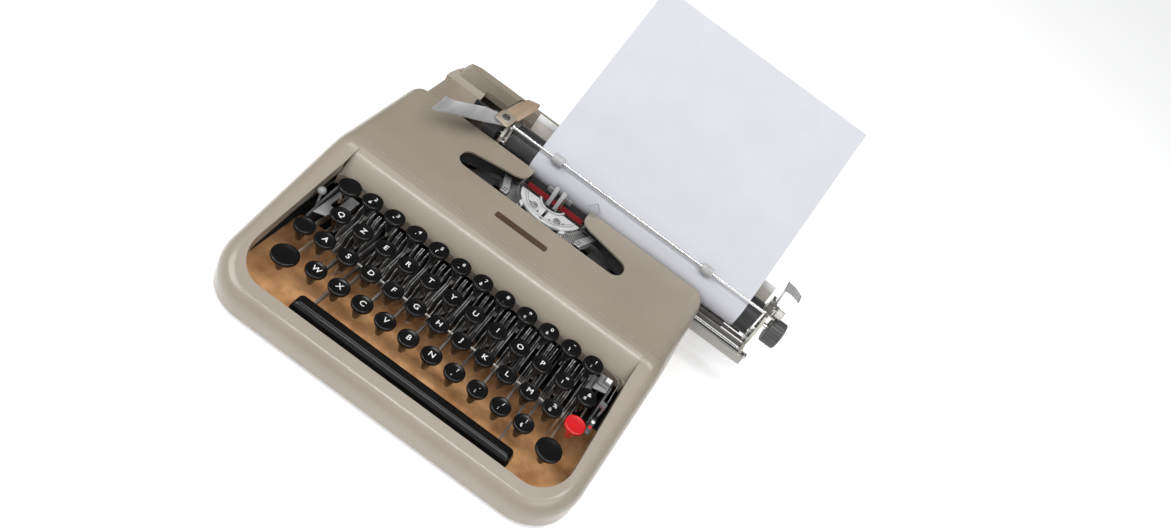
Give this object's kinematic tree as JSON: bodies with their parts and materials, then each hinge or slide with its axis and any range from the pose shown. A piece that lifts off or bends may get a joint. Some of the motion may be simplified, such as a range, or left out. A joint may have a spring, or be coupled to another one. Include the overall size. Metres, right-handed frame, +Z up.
{
  "type": "typewriter",
  "caption": "Flat portable manual typewriter in a beige case with round black keys and a sheet of paper.",
  "frame": {"origin": "on the desk, under the middle of the case", "axes": "+X the typist's right, +Y the machine's rear, +Z up"},
  "size_m": [0.3645, 0.3849, 0.1991],
  "materials": {
    "case_enamel": "satin",
    "badge_enamel": "satin",
    "base_steel": "satin",
    "felt": "matte",
    "foot_rubber": "matte",
    "frame_steel": "satin",
    "shaft_steel": "satin",
    "key_plastic": "gloss",
    "tab_red": "gloss",
    "lever_steel": "satin",
    "type_steel": "satin",
    "segment_steel": "satin",
    "ribbon_cloth": "matte",
    "spool_plastic": "satin",
    "carriage_nickel": "satin",
    "bright_steel": "satin",
    "chrome": "polished",
    "table_enamel": "satin",
    "paper": "matte",
    "platen_rubber": "satin",
    "knob_plastic": "gloss",
    "feed_rubber": "matte",
    "bail_rubber": "matte",
    "bell_brass": "polished",
    "selector_steel": "satin"
  },
  "bodies": {
    "chassis": {"body_shell": "case_enamel", "base_plate": "base_steel", "felt_pad": "felt", "rubber_feet": "foot_rubber", "base_screws": "selector_steel", "side_frames": "frame_steel", "key_lever_shaft": "shaft_steel", "lever_comb": "shaft_steel", "fixed_rails": "frame_steel", "inner_posts": "frame_steel", "bell": "bell_brass", "spool_cups": "frame_steel", "type_guide": "type_steel", "ribbon_sides": "ribbon_cloth"},
    "cover": {"top_cover": "case_enamel", "badge_plate": "badge_enamel"},
    "basket": {"type_segment": "segment_steel", "type_bars": "type_steel"},
    "striking_bar": {"striking_type_bar": "type_steel"},
    "vibrator": {"ribbon_vibrator": "frame_steel", "ribbon_middle": "ribbon_cloth"},
    "left_spool": {"ribbon_spool_left": "spool_plastic"},
    "right_spool": {"ribbon_spool_right": "spool_plastic"},
    "number_row": {"keytops_number": "key_plastic", "levers_number": "lever_steel"},
    "upper_row": {"keytops_upper": "key_plastic", "levers_upper": "lever_steel"},
    "home_row": {"keytops_home": "key_plastic", "levers_home": "lever_steel"},
    "lower_row": {"keytops_lower": "key_plastic", "levers_lower": "lever_steel"},
    "space_key": {"space_bar": "key_plastic"},
    "left_shift": {"shift_left_key": "key_plastic"},
    "right_shift": {"shift_right_key": "key_plastic"},
    "lock_key": {"shift_lock_key": "key_plastic"},
    "back_key": {"backspace_key": "key_plastic"},
    "tab_key": {"tabulator_key": "tab_red"},
    "selector": {"ribbon_selector": "selector_steel"},
    "margin_release": {"margin_release_lever": "type_steel"},
    "carriage": {"front_rail": "carriage_nickel", "rear_rail": "carriage_nickel", "end_plate_left": "carriage_nickel", "end_plate_right": "carriage_nickel", "margin_rack": "bright_steel", "margin_stops": "bright_steel", "paper_pan": "bright_steel", "paper_table": "table_enamel", "paper_sheet": "paper"},
    "platen_roll": {"platen": "platen_rubber", "platen_knobs": "knob_plastic", "platen_shaft": "chrome"},
    "front_feed": {"feed_roller_front": "feed_rubber"},
    "rear_feed": {"feed_roller_rear": "feed_rubber"},
    "bail": {"paper_bail": "chrome"},
    "left_bail_roller": {"bail_roller_left": "bail_rubber"},
    "right_bail_roller": {"bail_roller_right": "bail_rubber"},
    "line_lever": {"return_lever": "chrome"},
    "release_lever": {"paper_release_lever": "chrome"},
    "drum": {"mainspring_drum": "bright_steel"},
    "escapement": {"escapement_wheel": "bright_steel"}
  },
  "joints": [
    {"name": "number_row_press", "type": "hinge", "parent": "chassis", "child": "number_row", "pos_m": [0, 0.01, 0.016], "axis": [1, 0, 0], "range_deg": [0, 8.8], "stiffness_Nm_per_rad": 1.5, "springref_deg": -8.59},
    {"name": "upper_row_press", "type": "hinge", "parent": "chassis", "child": "upper_row", "pos_m": [0, 0.01, 0.016], "axis": [1, 0, 0], "range_deg": [0, 6.7], "stiffness_Nm_per_rad": 1.5, "springref_deg": -8.59},
    {"name": "home_row_press", "type": "hinge", "parent": "chassis", "child": "home_row", "pos_m": [0, 0.01, 0.016], "axis": [1, 0, 0], "range_deg": [0, 5.5], "stiffness_Nm_per_rad": 1.5, "springref_deg": -8.59},
    {"name": "lower_row_press", "type": "hinge", "parent": "chassis", "child": "lower_row", "pos_m": [0, 0.01, 0.016], "axis": [1, 0, 0], "range_deg": [0, 4.6], "stiffness_Nm_per_rad": 1.5, "springref_deg": -8.59},
    {"name": "space_bar_press", "type": "hinge", "parent": "chassis", "child": "space_key", "pos_m": [0, 0.01, 0.016], "axis": [1, 0, 0], "range_deg": [0, 2.5], "stiffness_Nm_per_rad": 1.5, "springref_deg": -8.59},
    {"name": "basket_shift", "type": "slide", "parent": "chassis", "child": "basket", "axis": [0, 0, 1], "range_m": [-0.006, 0], "stiffness_N_per_m": 1500, "springref_m": 0.003},
    {"name": "left_shift_press", "type": "hinge", "parent": "chassis", "child": "left_shift", "pos_m": [0, 0.01, 0.016], "axis": [1, 0, 0], "range_deg": [0, 3.6]},
    {"name": "right_shift_press", "type": "hinge", "parent": "chassis", "child": "right_shift", "pos_m": [0, 0.01, 0.016], "axis": [1, 0, 0], "range_deg": [0, 3.6]},
    {"name": "shift_lock_press", "type": "hinge", "parent": "chassis", "child": "lock_key", "pos_m": [0, 0.01, 0.016], "axis": [1, 0, 0], "range_deg": [0, 2.4], "stiffness_Nm_per_rad": 0.6, "springref_deg": -8.59},
    {"name": "backspace_press", "type": "hinge", "parent": "chassis", "child": "back_key", "pos_m": [0, 0.01, 0.016], "axis": [1, 0, 0], "range_deg": [0, 5.5], "stiffness_Nm_per_rad": 0.6, "springref_deg": -8.59},
    {"name": "tabulator_press", "type": "hinge", "parent": "chassis", "child": "tab_key", "pos_m": [0, 0.01, 0.016], "axis": [1, 0, 0], "range_deg": [0, 4.4], "stiffness_Nm_per_rad": 0.6, "springref_deg": -8.59},
    {"name": "type_bar_swing", "type": "hinge", "parent": "basket", "child": "striking_bar", "pos_m": [0.0018, 0.047, 0.02], "axis": [1, 0, 0], "range_deg": [-102, 0]},
    {"name": "vibrator_lift", "type": "slide", "parent": "chassis", "child": "vibrator", "axis": [0, 0, 1], "range_m": [0, 0.0056]},
    {"name": "left_spool_turn", "type": "hinge", "parent": "chassis", "child": "left_spool", "pos_m": [-0.096, 0.022, 0.06], "axis": [0, 0, 1], "continuous": true},
    {"name": "right_spool_turn", "type": "hinge", "parent": "chassis", "child": "right_spool", "pos_m": [0.1, 0.022, 0.06], "axis": [0, 0, 1], "continuous": true},
    {"name": "cover_open", "type": "hinge", "parent": "chassis", "child": "cover", "pos_m": [0, -0.0179, 0.0704], "axis": [1, 0, 0], "range_deg": [0, 4]},
    {"name": "selector_turn", "type": "hinge", "parent": "chassis", "child": "selector", "pos_m": [0.1246, -0.077, 0.038], "axis": [1, 0, 0], "range_deg": [-12, 12]},
    {"name": "margin_release_press", "type": "hinge", "parent": "chassis", "child": "margin_release", "pos_m": [-0.1248, -0.07, 0.032], "axis": [1, 0, 0], "range_deg": [0, 10], "stiffness_Nm_per_rad": 0.1, "springref_deg": -5.73},
    {"name": "carriage_travel", "type": "slide", "parent": "chassis", "child": "carriage", "axis": [1, 0, 0], "range_m": [-0.175, 0.05]},
    {"name": "platen_turn", "type": "hinge", "parent": "carriage", "child": "platen_roll", "pos_m": [0.065, 0.093, 0.069], "axis": [1, 0, 0], "continuous": true},
    {"name": "front_feed_turn", "type": "hinge", "parent": "carriage", "child": "front_feed", "pos_m": [0.065, 0.08081, 0.0534], "axis": [1, 0, 0], "continuous": true},
    {"name": "rear_feed_turn", "type": "hinge", "parent": "carriage", "child": "rear_feed", "pos_m": [0.065, 0.10519, 0.0534], "axis": [1, 0, 0], "continuous": true},
    {"name": "bail_open", "type": "hinge", "parent": "carriage", "child": "bail", "pos_m": [0.065, 0.081, 0.07], "axis": [1, 0, 0], "range_deg": [0, 45]},
    {"name": "left_bail_roller_turn", "type": "hinge", "parent": "bail", "child": "left_bail_roller", "pos_m": [-0.0155, 0.0825, 0.0876], "axis": [1, 0, 0], "continuous": true},
    {"name": "right_bail_roller_turn", "type": "hinge", "parent": "bail", "child": "right_bail_roller", "pos_m": [0.1336, 0.0825, 0.0876], "axis": [1, 0, 0], "continuous": true},
    {"name": "line_lever_pull", "type": "hinge", "parent": "carriage", "child": "line_lever", "pos_m": [-0.07, 0.084, 0.0854], "axis": [0, 0, 1], "range_deg": [0, 32], "stiffness_Nm_per_rad": 0.1, "springref_deg": -5.73},
    {"name": "paper_release_pull", "type": "hinge", "parent": "carriage", "child": "release_lever", "pos_m": [0.1985, 0.1116, 0.08], "axis": [1, 0, 0], "range_deg": [0, 20]},
    {"name": "drum_turn", "type": "hinge", "parent": "chassis", "child": "drum", "pos_m": [-0.088, 0.098, 0.028], "axis": [0, 0, 1], "continuous": true},
    {"name": "escapement_turn", "type": "hinge", "parent": "chassis", "child": "escapement", "pos_m": [0.02, 0.098, 0.031], "axis": [0, 0, 1], "continuous": true}
  ],
  "couplings": [
    {"joint": "left_shift_press", "follows": "basket_shift", "rad_per_m": -10.25},
    {"joint": "right_shift_press", "follows": "basket_shift", "rad_per_m": -10.25},
    {"joint": "type_bar_swing", "follows": "home_row_press", "ratio": -18.5},
    {"joint": "vibrator_lift", "follows": "home_row_press", "m_per_rad": 0.058},
    {"joint": "front_feed_turn", "follows": "platen_turn", "ratio": -5.0938},
    {"joint": "rear_feed_turn", "follows": "platen_turn", "ratio": -5.0938},
    {"joint": "right_spool_turn", "follows": "left_spool_turn", "ratio": 1},
    {"joint": "drum_turn", "follows": "carriage_travel", "rad_per_m": 58.8},
    {"joint": "escapement_turn", "follows": "carriage_travel", "rad_per_m": 103.07}
  ]
}
